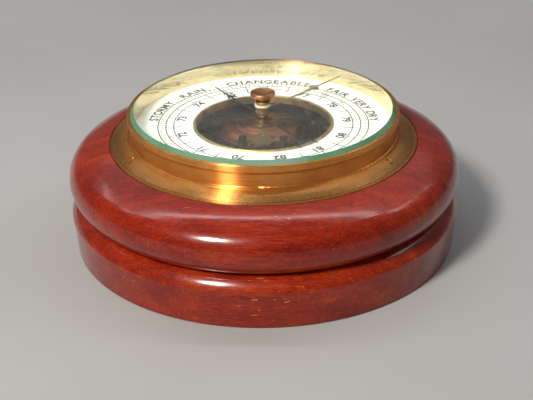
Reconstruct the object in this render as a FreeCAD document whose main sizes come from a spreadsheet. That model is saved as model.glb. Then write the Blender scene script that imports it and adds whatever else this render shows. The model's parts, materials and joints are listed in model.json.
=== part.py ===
import FreeCAD, Part
import math
import os
import re
import Sketcher

# Aneroid barometer in a turned wooden case, millimetres.
# Frame: origin in the middle of the case's flat back, +Z out through the dial, +Y to the dial's top.

DIMENSIONS = {
    # turned wooden case
    "case_back_radius": 94.4,
    "case_back_round": 0.8,
    "case_arris_radius": 95.9,
    "case_arris_height": 18.6,
    "case_shoulder_round": 10.7,
    "case_groove_radius": 89.4,
    "case_groove_height": 24.95,
    "case_nose_round": 12.05,
    "case_nose_top_radius": 90.3,
    "case_nose_top_height": 45.98,
    "case_top_round": 46.5,
    "case_rim_radius": 75.9,
    "case_rim_height": 51.8,
    "case_rebate_radius": 75.4,
    "case_seat_height": 51.0,
    "case_bore_radius": 62.6,
    "cover_seat_radius": 69.0,
    "cover_seat_depth": 2.0,
    # spun brass bezel
    "bezel_radius": 75.0,
    "bezel_edge": 0.7,
    "bezel_border_radius": 73.5,
    "bezel_slope_round": 16.0,
    "bezel_ridge_radius": 67.2,
    "bezel_ridge_height": 55.3,
    "bezel_wall_radius": 64.9,
    "bezel_wall": 0.9,
    "bezel_lip_radius": 66.2,
    "bezel_lip_height": 66.35,
    "bezel_screw_circle": 69.4,
    # glass, dial and the ring between them
    "glass_radius": 65.0,
    "glass_height": 64.8,
    "glass_thickness": 3.2,
    "glass_edge": 1.0,
    "glass_bevel": 2.2,
    "glass_hole": 1.6,
    "reflector_radius": 63.9,
    "reflector_top_inner": 63.5,
    "reflector_foot_inner": 62.9,
    "dial_radius": 63.8,
    "dial_height": 55.6,
    "dial_thickness": 0.8,
    "dial_hole": 34.0,
    "ring_radius": 34.5,
    "ring_opening": 32.8,
    "ring_rise": 0.9,
    "ring_foot": 2.2,
    # movement can and plate
    "can_radius": 62.0,
    "can_wall": 0.8,
    "can_floor_height": 30.0,
    "can_floor": 1.0,
    "can_lip_radius": 65.2,
    "plate_radius": 53.0,
    "plate_thickness": 2.0,
    "pillar_radius": 2.6,
    "pillar_circle": 48.0,
    "plate_screw_circle": 50.0,
    # capsule
    "capsule_x": -2.0,
    "capsule_y": 25.0,
    "capsule_radius": 22.0,
    "capsule_foot": 4.0,
    "capsule_half": 4.2,
    "capsule_skin": 0.3,
    "capsule_flat": 7.0,
    "capsule_wave": 2.0,
    "capsule_post": 2.3,
    "capsule_spring_radius": 5.6,
    "capsule_spring_wire": 0.5,
    "capsule_spring_turns": 3,
    "adjuster_shank": 2.0,
    "adjuster_head": 4.0,
    # main lever, drop link and rocking shaft
    "lever_x": 24.0,
    "lever_height": 48.5,
    "bracket_boss_height": 43.8,
    "bracket_boss_radius": 3.0,
    "lever_shaft_radius": 1.0,
    "lever_hub": 2.2,
    "lever_width": 4.0,
    "lever_strap": 1.5,
    "link_x": -26.8,
    "link_wire": 0.5,
    "link_eye_bore": 0.75,
    "link_eye": 1.3,
    "pin_radius": 0.5,
    "rocker_x": -30.0,
    "rocker_height": 35.5,
    "rocker_radius": 1.2,
    "rocker_arm_reach": 8.5,
    # arbor, bridge and hairspring
    "arbor_radius": 0.6,
    "running_gap": 0.05,
    "drum_core": 0.75,
    "drum_flange": 1.8,
    "chain_height": 44.0,
    "bridge_height": 48.5,
    "bridge_thickness": 1.5,
    "bridge_post_x": 10.0,
    "bridge_post_y": -5.0,
    "bridge_ear": 3.0,
    "bridge_waist": 5.5,
    "bridge_foot": 3.5,
    "hairspring_height": 46.4,
    "hairspring_width": 0.8,
    "hairspring_inner": 1.6,
    "hairspring_pitch": 1.2,
    "hairspring_turns": 4.5,
    # hands and knob
    "hand_height": 59.6,
    "hand_thickness": 0.4,
    "hand_reach": 47.0,
    "hand_angle": 124.7,
    "hand_barb": 30.5,
    "hand_barb_width": 2.7,
    "hand_line": 0.4,
    "hand_tip": 0.12,
    "hand_hub_radius": 3.0,
    "crescent_x": 39.0,
    "crescent_radius": 5.0,
    "crescent_offset": 0.9,
    "set_hand_height": 63.0,
    "set_hand_thickness": 0.7,
    "set_hand_reach": 58.8,
    "set_hand_angle": 50.2,
    "set_hand_bar": 38.0,
    "set_hand_bar_width": 3.1,
    "set_hand_line": 0.35,
    "set_hand_hub_radius": 3.4,
    "knob_radius": 6.1,
    "knob_top": 75.2,
    "knob_disc": 2.4,
    "knob_neck": 2.3,
    "knob_collar": 3.5,
    "knob_shaft": 1.5,
    "washer_radius": 4.1,
    "washer_thickness": 1.0,
    "lower_washer_radius": 3.6,
    "lower_washer_thickness": 0.8,
    # back cover and wall hanger
    "back_cover_radius": 68.6,
    "back_cover_thickness": 1.5,
    "back_cover_screw_circle": 66.2,
    "hanger_y": 81.0,
    "hanger_length": 34.0,
    "hanger_width": 16.0,
    "hanger_thickness": 1.2,
    "keyhole_y": 79.0,
    "keyhole_radius": 4.0,
    "keyhole_slot": 2.2,
    "keyhole_travel": 4.5,
}

BEZEL_SCREW_ANGLES = (90, 210, 330)
PILLAR_ANGLES = (30, 150, 270)
PLATE_SCREW_ANGLES = (75, 195, 315)
COVER_SCREW_ANGLES = (45, 135, 225, 315)
SLOT_WIDTH = 0.6
SLOT_DEPTH = 0.7
OVERCUT = 1.0

doc = FreeCAD.newDocument("aneroid_barometer")
sheet = doc.addObject("Spreadsheet::Sheet", "dims")
pieces = []


def fill_sheet():
    """One row per driving dimension: its name beside its value."""
    for row, (name, value) in enumerate(DIMENSIONS.items(), start=1):
        sheet.set("A%d" % row, name)
        sheet.set("B%d" % row, str(value))
        sheet.setAlias("B%d" % row, name)
    doc.recompute()


def formula(text):
    """Dimension names in a formula become references to the sheet."""
    def reference(match):
        word = match.group(0)
        return "dims." + word if word in DIMENSIONS else word
    return re.sub(r"[a-z][a-z_]+", reference, str(text))


def number(text):
    """The present value of a formula."""
    return float(sheet.evalExpression(formula(text)))


def bind(item, field, text):
    item.setExpression(field, formula(text))


def keep(item):
    """Marks an object as a finished piece of the barometer."""
    pieces.append(item)
    return item


def place(item, x="0", y="0", z="0", axis=(0, 0, 1), angle=0):
    """Puts an object at x, y, z and turns it about an axis through that point."""
    spot = FreeCAD.Vector(number(x), number(y), number(z))
    turn = FreeCAD.Rotation(FreeCAD.Vector(*axis), number(angle))
    item.Placement = FreeCAD.Placement(spot, turn)
    for field, text in (("x", x), ("y", y), ("z", z)):
        bind(item, "Placement.Base." + field, text)
    if isinstance(angle, str):
        bind(item, "Placement.Rotation.Angle", angle)
    return item


def around(circle, angle):
    """Formulas for a point on a circle about the middle, at an angle in degrees."""
    x = "(%s) * %.9f" % (circle, math.cos(math.radians(angle)))
    y = "(%s) * %.9f" % (circle, math.sin(math.radians(angle)))
    return x, y


# ---- sketches -------------------------------------------------------------------------------

def origin_plane(body, role):
    for feature in body.Origin.OriginFeatures:
        if feature.Role == role:
            return feature
    raise ValueError(role)


def arc_through(start, end, radius, left):
    """Arc from start to end whose middle lies to the left or right of the way it runs."""
    middle = (start + end) * 0.5
    half = (end - start) * 0.5
    reach = math.sqrt(max(radius ** 2 - half.Length ** 2, 0.0))
    side = FreeCAD.Vector(-half.y, half.x, 0).normalize() * reach
    centre = middle + side if left else middle - side
    first = math.atan2(start.y - centre.y, start.x - centre.x)
    last = math.atan2(end.y - centre.y, end.x - centre.x)
    if not left:
        first, last = last, first
    if last < first:
        last += 2 * math.pi
    circle = Part.Circle(centre, FreeCAD.Vector(0, 0, 1), radius)
    return Part.ArcOfCircle(circle, first, last)


def pin_point(sketch, edge, end, x, y):
    """Ties one end of an edge to formulas for its two coordinates."""
    for kind, axis, text in (("DistanceX", -2, x), ("DistanceY", -1, y)):
        if str(text) == "0":
            sketch.addConstraint(Sketcher.Constraint("PointOnObject", edge, end, axis))
            continue
        index = sketch.addConstraint(Sketcher.Constraint(kind, -1, 1, edge, end, number(text)))
        bind(sketch, "Constraints[%d]" % index, text)


def draw_loop(sketch, outline):
    """Closed outline. Each corner is (x, y), or (x, y, radius, side) where an arc leaves it:
    side "left" keeps the arc's middle on the left of the way round, "right" on the right."""
    corners = [FreeCAD.Vector(number(c[0]), number(c[1]), 0) for c in outline]
    ends = []
    for here, corner in enumerate(outline):
        start = corners[here]
        stop = corners[(here + 1) % len(outline)]
        if len(corner) == 2:
            edge = sketch.addGeometry(Part.LineSegment(start, stop), False)
            ends.append((edge, 1, 2))
            continue
        left = corner[3] == "left"
        edge = sketch.addGeometry(arc_through(start, stop, number(corner[2]), left), False)
        ends.append((edge, 1, 2) if left else (edge, 2, 1))
    for here, (edge, first, last) in enumerate(ends):
        following = ends[(here + 1) % len(ends)]
        sketch.addConstraint(Sketcher.Constraint("Coincident", edge, last, following[0], following[1]))
        pin_point(sketch, edge, first, outline[here][0], outline[here][1])
        if len(outline[here]) == 4:
            radius = number(outline[here][2])
            index = sketch.addConstraint(Sketcher.Constraint("Radius", edge, radius))
            bind(sketch, "Constraints[%d]" % index, outline[here][2])


def draw_circle(sketch, x, y, radius):
    centre = FreeCAD.Vector(number(x), number(y), 0)
    circle = Part.Circle(centre, FreeCAD.Vector(0, 0, 1), number(radius))
    edge = sketch.addGeometry(circle, False)
    pin_point(sketch, edge, 3, x, y)
    index = sketch.addConstraint(Sketcher.Constraint("Radius", edge, number(radius)))
    bind(sketch, "Constraints[%d]" % index, radius)


def new_sketch(body, role, name, height="0"):
    sketch = body.newObject("Sketcher::SketchObject", name)
    sketch.AttachmentSupport = (origin_plane(body, role), [""])
    sketch.MapMode = "FlatFace"
    bind(sketch, "AttachmentOffset.Base.z", height)
    return sketch


# ---- ways of making a piece -------------------------------------------------------------------

def turned(name, outline):
    """Body turned on the lathe: the outline is radius and height."""
    body = doc.addObject("PartDesign::Body", name)
    sketch = new_sketch(body, "XZ_Plane", name + "_profile")
    draw_loop(sketch, outline)
    lathe = body.newObject("PartDesign::Revolution", name + "_turning")
    lathe.Profile = sketch
    lathe.ReferenceAxis = (sketch, ["V_Axis"])
    lathe.Angle = 360
    return body


def flat(name, loops, circles, height, thickness):
    """Body cut from sheet: loops and circles in plan, standing from a height."""
    body = doc.addObject("PartDesign::Body", name)
    sketch = new_sketch(body, "XY_Plane", name + "_plan", height)
    for loop in loops:
        draw_loop(sketch, loop)
    for circle in circles:
        draw_circle(sketch, *circle)
    pad = body.newObject("PartDesign::Pad", name + "_pad")
    pad.Profile = sketch
    bind(pad, "Length", thickness)
    return body


def drill(body, name, circles, height, depth):
    """Holes in a body, running down from a height."""
    sketch = new_sketch(body, "XY_Plane", name + "_plan", height)
    for circle in circles:
        draw_circle(sketch, *circle)
    pocket = body.newObject("PartDesign::Pocket", name)
    pocket.Profile = sketch
    bind(pocket, "Length", depth)
    return pocket


def rod(name, radius, length, x="0", y="0", z="0", along="z"):
    """Plain cylinder standing along z, or lying along x or y."""
    item = doc.addObject("Part::Cylinder", name)
    bind(item, "Radius", radius)
    bind(item, "Height", length)
    turn = {"z": ((0, 0, 1), 0), "y": ((1, 0, 0), -90), "x": ((0, 1, 0), 90)}[along]
    return place(item, x, y, z, turn[0], turn[1])


def block(name, length, width, height, x="0", y="0", z="0"):
    item = doc.addObject("Part::Box", name)
    bind(item, "Length", length)
    bind(item, "Width", width)
    bind(item, "Height", height)
    return place(item, x, y, z)


def joined(name, members):
    item = doc.addObject("Part::MultiFuse", name)
    item.Shapes = members
    return item


def cut_away(name, base, tools):
    item = doc.addObject("Part::Cut", name)
    item.Base = base
    item.Tool = tools[0] if len(tools) == 1 else joined(name + "_tools", tools)
    return item


def grouped(name, members):
    """Identical pieces that share a name but stay separate solids."""
    item = doc.addObject("Part::Compound", name)
    item.Links = members
    return keep(item)


def screw(name, size, x, y, z, head_down=False, turn=0):
    """Slotted cheese-head screw; z is the face under its head."""
    head_radius, head_height, shank_radius, shank_length = size
    head = rod(name + "_head", head_radius, head_height)
    shank = rod(name + "_shank", shank_radius, shank_length, z="-(%s)" % shank_length)
    slot_length = "2 * (%s) + 1" % head_radius
    slot = block(name + "_slot", slot_length, SLOT_WIDTH, OVERCUT,
                 "-(%s) / 2" % slot_length, -SLOT_WIDTH / 2, "%s - %s" % (head_height, SLOT_DEPTH))
    item = cut_away(name, joined(name + "_solid", [head, shank]), [slot])
    if head_down:
        return place(item, x, y, z, (1, 0, 0), 180)
    return place(item, x, y, z, (0, 0, 1), turn)


def countersunk(name, size, x, y, z, head_down=False, turn=0):
    """Slotted countersunk screw; z is the flat top of its head."""
    head_radius, shank_radius, length = size
    sink = "(%s) - (%s)" % (head_radius, shank_radius)
    cone = doc.addObject("Part::Cone", name + "_head")
    bind(cone, "Radius1", shank_radius)
    bind(cone, "Radius2", head_radius)
    bind(cone, "Height", sink)
    place(cone, z="-(%s)" % sink)
    shank = rod(name + "_shank", shank_radius, "(%s) - (%s)" % (length, sink), z="-(%s)" % length)
    slot = block(name + "_slot", "2 * (%s)" % head_radius, SLOT_WIDTH, OVERCUT,
                 "-(%s)" % head_radius, -SLOT_WIDTH / 2, -SLOT_DEPTH)
    item = cut_away(name, joined(name + "_solid", [cone, shank]), [slot])
    if head_down:
        return place(item, x, y, z, (1, 0, 0), 180)
    return place(item, x, y, z, (0, 0, 1), turn)


def sink_tool(name, size, x, y, z, head_down=False):
    """The hole that a countersunk screw fills."""
    head_radius, shank_radius, length = size
    sink = "(%s) - (%s)" % (head_radius, shank_radius)
    cone = doc.addObject("Part::Cone", name + "_cone")
    bind(cone, "Radius1", shank_radius)
    bind(cone, "Radius2", head_radius)
    bind(cone, "Height", sink)
    place(cone, z="-(%s)" % sink)
    shank = rod(name + "_bore", shank_radius, "(%s) - (%s)" % (length, sink), z="-(%s)" % length)
    above = rod(name + "_above", head_radius, OVERCUT)
    item = joined(name, [cone, shank, above])
    return place(item, x, y, z, (1, 0, 0), 180 if head_down else 0)


# ---- case, bezel and glass --------------------------------------------------------------------

BEZEL_SCREW = ("1.9", "0.9", "12")
COVER_SCREW = ("1.9", "0.9", "9")
HANGER_SCREW = ("2.5", "1.3", "14")
BEZEL_SCREW_HEIGHT = "54.25"


def hanger_places():
    return [("-hanger_length / 2 + 4.5", "hanger_y"), ("hanger_length / 2 - 4.5", "hanger_y")]


def wood_case():
    ring = turned("wood_ring", [
        ("cover_seat_radius", "0"),
        ("case_back_radius - case_back_round", "0", "case_back_round", "left"),
        ("case_back_radius", "case_back_round"),
        ("case_arris_radius", "case_arris_height", "case_shoulder_round", "left"),
        ("case_groove_radius", "case_groove_height", "case_nose_round", "left"),
        ("case_nose_top_radius", "case_nose_top_height", "case_top_round", "left"),
        ("case_rim_radius", "case_rim_height", "0.6", "left"),
        ("case_rebate_radius", "case_rim_height - 0.4"),
        ("case_rebate_radius", "case_seat_height"),
        ("case_bore_radius", "case_seat_height"),
        ("case_bore_radius", "cover_seat_depth"),
        ("cover_seat_radius", "cover_seat_depth"),
    ])
    tools = [block("hanger_recess", "hanger_length", "hanger_width", "hanger_thickness + 1",
                   "-hanger_length / 2", "hanger_y - hanger_width / 2", "-1")]
    for step in ("0", "keyhole_travel"):
        tools.append(rod("nail_room_" + step, "keyhole_radius + 0.5", "9", "0", "keyhole_y + " + step))
    tools.append(block("nail_room_slot", "2 * keyhole_radius + 1", "keyhole_travel", "9",
                       "-keyhole_radius - 0.5", "keyhole_y"))
    for spot, angle in enumerate(BEZEL_SCREW_ANGLES):
        x, y = around("bezel_screw_circle", angle)
        tools.append(sink_tool("bezel_pilot_%d" % spot, BEZEL_SCREW, x, y, BEZEL_SCREW_HEIGHT))
    for spot, angle in enumerate(COVER_SCREW_ANGLES):
        x, y = around("back_cover_screw_circle", angle)
        tools.append(rod("cover_pilot_%d" % spot, COVER_SCREW[1], COVER_SCREW[2] + " + 1", x, y))
    for spot, (x, y) in enumerate(hanger_places()):
        tools.append(rod("hanger_pilot_%d" % spot, HANGER_SCREW[1], HANGER_SCREW[2], x, y))
    keep(cut_away("wood_case", ring, tools))


def bezel():
    wall_inner = "bezel_wall_radius - bezel_wall"
    shell = turned("bezel_shell", [
        ("bezel_radius", "case_seat_height"),
        ("bezel_radius", "case_seat_height + bezel_edge"),
        ("bezel_border_radius", "case_seat_height + bezel_edge + 0.05"),
        ("bezel_border_radius - 0.1", "case_seat_height + bezel_edge + 0.45", "bezel_slope_round", "left"),
        ("bezel_ridge_radius", "bezel_ridge_height", "0.75", "left"),
        ("bezel_ridge_radius - 1.4", "bezel_ridge_height - 0.1", "0.8", "right"),
        ("bezel_wall_radius", "bezel_ridge_height + 0.6"),
        ("bezel_wall_radius", "glass_height - 3.2", "1.6", "right"),
        ("bezel_lip_radius - 0.2", "glass_height - 1.8", "0.4", "left"),
        ("bezel_lip_radius", "glass_height - 1.4"),
        ("bezel_lip_radius", "bezel_lip_height - 0.6", "0.6", "left"),
        ("bezel_lip_radius - 0.6", "bezel_lip_height"),
        ("glass_radius - 0.25", "bezel_lip_height"),
        ("glass_radius - 0.25", "bezel_lip_height - 0.2"),
        ("glass_radius + 0.05", "bezel_lip_height - 0.2"),
        ("glass_radius + 0.05", "glass_height"),
        (wall_inner, "glass_height"),
        (wall_inner, "case_seat_height + can_wall"),
        ("can_lip_radius", "case_seat_height + can_wall"),
        ("can_lip_radius", "bezel_ridge_height - 1.3"),
        ("bezel_ridge_radius - 0.2", "bezel_ridge_height - 1"),
        ("bezel_border_radius - 1", "case_seat_height + 0.6"),
        ("bezel_border_radius - 0.6", "case_seat_height"),
    ])
    tools = []
    for spot, angle in enumerate(BEZEL_SCREW_ANGLES):
        x, y = around("bezel_screw_circle", angle)
        tools.append(sink_tool("bezel_hole_%d" % spot, BEZEL_SCREW, x, y, BEZEL_SCREW_HEIGHT))
    keep(cut_away("bezel", shell, tools))


def bezel_screws():
    members = []
    for spot, angle in enumerate(BEZEL_SCREW_ANGLES):
        x, y = around("bezel_screw_circle", angle)
        members.append(countersunk("bezel_screw_%d" % spot, BEZEL_SCREW, x, y, BEZEL_SCREW_HEIGHT,
                                   turn=40 * spot + 25))
    grouped("bezel_screws", members)


def glass():
    top = "glass_height + glass_thickness"
    keep(turned("glass", [
        ("glass_hole", "glass_height"),
        ("glass_radius", "glass_height"),
        ("glass_radius", "glass_height + glass_edge"),
        ("glass_radius - glass_bevel", top),
        ("glass_hole", top),
    ]))


def reflector_ring():
    foot = "dial_height + dial_thickness"
    keep(turned("reflector_ring", [
        ("reflector_foot_inner", foot),
        ("reflector_radius", foot),
        ("reflector_radius", "glass_height - 0.05"),
        ("reflector_top_inner", "glass_height - 0.05"),
    ]))


# ---- dial -------------------------------------------------------------------------------------

def dial():
    keep(flat("dial", [], [("0", "0", "dial_radius"), ("0", "0", "dial_hole")],
              "dial_height", "dial_thickness"))


def dial_ring():
    face = "dial_height + dial_thickness"
    keep(turned("dial_ring", [
        ("ring_opening", "dial_height - ring_foot"),
        ("dial_hole - 0.05", "dial_height - ring_foot"),
        ("dial_hole - 0.05", face),
        ("ring_radius", face),
        ("ring_radius", face + " + 0.4", "0.7", "left"),
        ("ring_radius - 0.7", face + " + ring_rise"),
        ("ring_opening + 0.4", face + " + ring_rise", "0.4", "left"),
        ("ring_opening", face + " + ring_rise - 0.4"),
    ]))


# ---- movement can, plate and pillars ----------------------------------------------------------

PILLAR_SCREW = ("2.4", "1.2", "1.1", "7")
PLATE_SCREW = ("2.3", "1.2", "1.1", "3")
BRACKET_SCREW = ("1.7", "1.1", "0.9", "4")
plate_top = "can_floor_height + can_floor + plate_thickness"
plate_foot = "can_floor_height + can_floor"


def movement_can():
    wall_inner = "can_radius - can_wall"
    rim = "case_seat_height + can_wall"
    shell = turned("can_shell", [
        ("0", "can_floor_height"),
        ("can_radius - 1", "can_floor_height", "1", "left"),
        ("can_radius", "can_floor_height + 1"),
        ("can_radius", "case_seat_height"),
        ("can_lip_radius", "case_seat_height"),
        ("can_lip_radius", rim),
        (wall_inner, rim),
        (wall_inner, plate_foot),
        ("0", plate_foot),
    ])
    holes = [("capsule_x", "capsule_y", "adjuster_shank + running_gap")]
    for angle in PILLAR_ANGLES:
        holes.append(around("pillar_circle", angle) + (PILLAR_SCREW[2],))
    for angle in PLATE_SCREW_ANGLES:
        holes.append(around("plate_screw_circle", angle) + (PLATE_SCREW[2],))
    drill(shell, "can_holes", holes, plate_foot, "can_floor")
    shell.Label = "movement_can"
    keep(shell)


def bracket_screw_places():
    """Place of the lever bracket's screw, then of the two rocker brackets' screws."""
    lever = ("lever_x + 7", "capsule_y")
    rocker = [("rocker_x - 4.6", "-8"), ("rocker_x - 4.6", "33")]
    return lever, rocker


def bridge_post_places():
    return [("-bridge_post_x", "bridge_post_y"), ("bridge_post_x", "bridge_post_y")]


def movement_plate():
    holes = [
        ("capsule_x", "capsule_y", "adjuster_shank + running_gap"),
        ("0", "0", "2"),
    ]
    for angle in PILLAR_ANGLES:
        holes.append(around("pillar_circle", angle) + (PILLAR_SCREW[2],))
    for angle in PLATE_SCREW_ANGLES:
        holes.append(around("plate_screw_circle", angle) + (PLATE_SCREW[2],))
    lever, rocker = bracket_screw_places()
    for x, y in [lever] + rocker:
        holes.append((x, y, BRACKET_SCREW[2]))
    keep(flat("movement_plate", [], [("0", "0", "plate_radius")] + holes, plate_foot, "plate_thickness"))


def plate_screws():
    members = []
    for spot, angle in enumerate(PLATE_SCREW_ANGLES):
        x, y = around("plate_screw_circle", angle)
        members.append(screw("plate_screw_%d" % spot, PLATE_SCREW, x, y, plate_top, turn=70 * spot))
    grouped("plate_screws", members)


def dial_pillars():
    members = []
    for spot, angle in enumerate(PILLAR_ANGLES):
        x, y = around("pillar_circle", angle)
        tall = "dial_height - (%s)" % plate_top
        post = rod("pillar_post_%d" % spot, "pillar_radius", tall, x, y, plate_top)
        bore = rod("pillar_bore_%d" % spot, PILLAR_SCREW[2], "4.2", x, y, plate_top)
        members.append(cut_away("dial_pillar_%d" % spot, post, [bore]))
    grouped("dial_pillars", members)


def pillar_screws():
    members = []
    for spot, angle in enumerate(PILLAR_ANGLES):
        x, y = around("pillar_circle", angle)
        members.append(screw("pillar_screw_%d" % spot, PILLAR_SCREW, x, y, "can_floor_height", True))
    grouped("pillar_screws", members)


# ---- capsule ----------------------------------------------------------------------------------

def diaphragm(name, rim, flat_face, skin):
    """Corrugated dished disc: flat in the middle, four waves, and a rolled rim."""
    rolled = "right" if number(flat_face) > number(rim) else "left"
    path = [("0", flat_face)]
    for step in range(4):
        side = "left" if step % 2 else "right"
        path.append(("capsule_flat + %d * capsule_wave" % step, flat_face, "capsule_wave * 0.75", side))
    path.append(("capsule_flat + 4 * capsule_wave", flat_face))
    path.append(("capsule_radius - 3.4", flat_face, "12", rolled))
    path.append(("capsule_radius - 1", rim))
    path.append(("capsule_radius", rim))
    opposite = {"left": "right", "right": "left"}
    back = []
    for here in range(len(path) - 1, -1, -1):
        corner = (path[here][0], "(%s) + %s" % (path[here][1], skin))
        before = path[here - 1] if here else ()
        if len(before) == 4:
            corner += (before[2], opposite[before[3]])
        back.append(corner)
    return turned(name, path + back)


def capsule_foot():
    shank_hole = "adjuster_shank + running_gap"
    foot = turned("capsule_foot", [
        (shank_hole, "0"),
        ("7", "0"),
        ("7", "1.2"),
        ("4.5", "1.8"),
        ("4.5", "capsule_foot"),
        ("0", "capsule_foot"),
        ("0", "capsule_foot - 0.8"),
        (shank_hole, "capsule_foot - 0.8"),
    ])
    keep(place(foot, "capsule_x", "capsule_y", plate_top))


def capsule_lower():
    item = diaphragm("capsule_lower", "capsule_foot + capsule_half - capsule_skin",
                     "capsule_foot", "capsule_skin")
    keep(place(item, "capsule_x", "capsule_y", plate_top))


def capsule_upper():
    item = diaphragm("capsule_upper", "capsule_foot + capsule_half",
                     "capsule_foot + 2 * capsule_half - capsule_skin", "capsule_skin")
    keep(place(item, "capsule_x", "capsule_y", plate_top))


def capsule_spring():
    """Coil that holds the evacuated capsule open."""
    height = "2 * capsule_half - 2 * capsule_skin - 2 * capsule_spring_wire - 0.4"
    body = doc.addObject("PartDesign::Body", "capsule_spring")
    section = new_sketch(body, "XZ_Plane", "capsule_spring_section")
    draw_circle(section, "capsule_spring_radius", "0", "capsule_spring_wire")
    coil = body.newObject("PartDesign::AdditiveHelix", "capsule_spring_coil")
    coil.Profile = section
    coil.ReferenceAxis = (section, ["V_Axis"])
    coil.Mode = "height-turns-angle"
    bind(coil, "Height", height)
    bind(coil, "Turns", "capsule_spring_turns")
    lift = plate_top + " + capsule_foot + capsule_skin + capsule_spring_wire + 0.2"
    keep(place(body, "capsule_x", "capsule_y", lift))


def capsule_post():
    foot = plate_top + " + capsule_foot + 2 * capsule_half"
    item = turned("capsule_post", [
        ("0", "0"),
        ("4", "0"),
        ("4", "0.5"),
        ("1.6", "0.9"),
        ("1.6", "capsule_post - 0.5", "2.81", "left"),
        ("0", "capsule_post"),
    ])
    keep(place(item, "capsule_x", "capsule_y", foot))


def adjusting_screw():
    item = screw("adjusting_screw", ("adjuster_head", "2.8", "adjuster_shank", "6.1"),
                 "capsule_x", "capsule_y", "can_floor_height - 0.2", True)
    keep(item)


# ---- main lever and its bracket ---------------------------------------------------------------

BRACKET_WALL = "1.5"
BRACKET_HALF = "5.5"
BRACKET_FOOT = "2"


def lever_bracket():
    near = "capsule_y - " + BRACKET_HALF
    depth = "2 * " + BRACKET_HALF
    front = "lever_x - 3.5"
    foot = block("lever_bracket_foot", "14", depth, BRACKET_FOOT, front, near, plate_top)
    rise = "lever_height + 2.2 - (%s)" % plate_top
    walls = []
    for spot, y in enumerate((near, "capsule_y + %s - %s" % (BRACKET_HALF, BRACKET_WALL))):
        walls.append(block("lever_bracket_wall_%d" % spot, "7", BRACKET_WALL, rise, front, y,
                           plate_top))
    bore = rod("lever_bracket_bore", "lever_shaft_radius", "2 * %s + 2" % BRACKET_HALF,
               "lever_x", near + " - 1", "lever_height", "y")
    x, y = bracket_screw_places()[0]
    tall = "bracket_boss_height - (%s)" % plate_top
    boss = rod("lever_bracket_boss", "bracket_boss_radius", tall, x, y, plate_top)
    hole = rod("lever_bracket_hole", BRACKET_SCREW[2], tall, x, y, plate_top)
    keep(cut_away("lever_bracket", joined("lever_bracket_solid", [foot, boss] + walls), [bore, hole]))


def lever_shaft():
    keep(rod("lever_shaft", "lever_shaft_radius", "2 * %s + 1" % BRACKET_HALF,
             "lever_x", "capsule_y - %s - 0.5" % BRACKET_HALF, "lever_height", "y"))


def main_lever():
    low = "capsule_y - lever_width / 2"
    high = "capsule_y + lever_width / 2"
    strap = flat("lever_strap_body", [[
        ("link_x - 2", low), ("lever_x", low), ("lever_x", high),
        ("link_x + 3", high), ("link_x + 3", low + " + 1.3"), ("link_x - 2", low + " + 1.3"),
    ]], [], "lever_height - lever_strap / 2", "lever_strap")
    hub = rod("lever_hub_body", "lever_hub", "7.6", "lever_x", "capsule_y - 3.8", "lever_height", "y")
    bore = rod("lever_hub_bore", "lever_shaft_radius + running_gap", "9",
               "lever_x", "capsule_y - 4.5", "lever_height", "y")
    keep(cut_away("main_lever", joined("lever_solid", [strap, hub]), [bore]))


def lever_pin():
    keep(rod("lever_pin", "pin_radius", "2", "link_x", "capsule_y - lever_width / 2 + 1.3",
             "lever_height", "y"))


def link_rod():
    eyes = []
    bores = []
    for spot, z in enumerate(("rocker_height", "lever_height")):
        eyes.append(rod("link_eye_%d" % spot, "link_eye", "0.9", "link_x", "capsule_y - 0.4", z, "y"))
        bores.append(rod("link_bore_%d" % spot, "link_eye_bore", "2", "link_x", "capsule_y - 1", z, "y"))
    wire = rod("link_wire_body", "link_wire * 0.8", "lever_height - rocker_height - 2 * link_eye + 0.4",
               "link_x", "capsule_y + 0.05", "rocker_height + link_eye - 0.2")
    keep(cut_away("link_rod", joined("link_solid", eyes + [wire]), bores))


# ---- rocking shaft ----------------------------------------------------------------------------

ROCKER_SOUTH = "-6"
ROCKER_NORTH = "31"
BEARING_SOUTH = "-9"
BEARING_NORTH = "32"
BEARING_WIDTH = "2"


def rocker_shaft():
    body = rod("rocker_body", "rocker_radius", "%s - (%s)" % (ROCKER_NORTH, ROCKER_SOUTH),
               "rocker_x", ROCKER_SOUTH, "rocker_height", "y")
    pivots = rod("rocker_pivots", "pin_radius", "42.6", "rocker_x", "-8.8", "rocker_height", "y")
    keep(joined("rocker_shaft", [body, pivots]))


def rocker_brackets():
    members = []
    for spot, y in enumerate((BEARING_SOUTH, BEARING_NORTH)):
        name = "rocker_bracket_%d" % spot
        post = block(name + "_post", "5", BEARING_WIDTH, "rocker_height + 2.5 - (%s)" % plate_top,
                     "rocker_x - 2.5", y, plate_top)
        foot = block(name + "_foot", "5", "4", "1", "rocker_x - 7", y + " - 1", plate_top)
        bore = rod(name + "_bore", "pin_radius + running_gap", "4", "rocker_x", y + " - 1",
                   "rocker_height", "y")
        hole = rod(name + "_hole", BRACKET_SCREW[2], "1",
                   "rocker_x - 4.6", y + " + 1", plate_top)
        members.append(cut_away(name, joined(name + "_solid", [post, foot]), [bore, hole]))
    grouped("rocker_brackets", members)


def bracket_screws():
    (x, y), rocker = bracket_screw_places()
    length = "bracket_boss_height - (%s) + 2" % plate_top
    size = ("bracket_boss_radius - 0.5", "1.3", BRACKET_SCREW[2], length)
    members = [screw("lever_bracket_screw", size, x, y, "bracket_boss_height", turn=30)]
    for spot, (x, y) in enumerate(rocker):
        z = plate_top + " + 1"
        size = BRACKET_SCREW[:3] + ("3",)
        members.append(screw("rocker_bracket_screw_%d" % spot, size, x, y, z, turn=10 + 60 * spot))
    grouped("bracket_screws", members)


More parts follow.
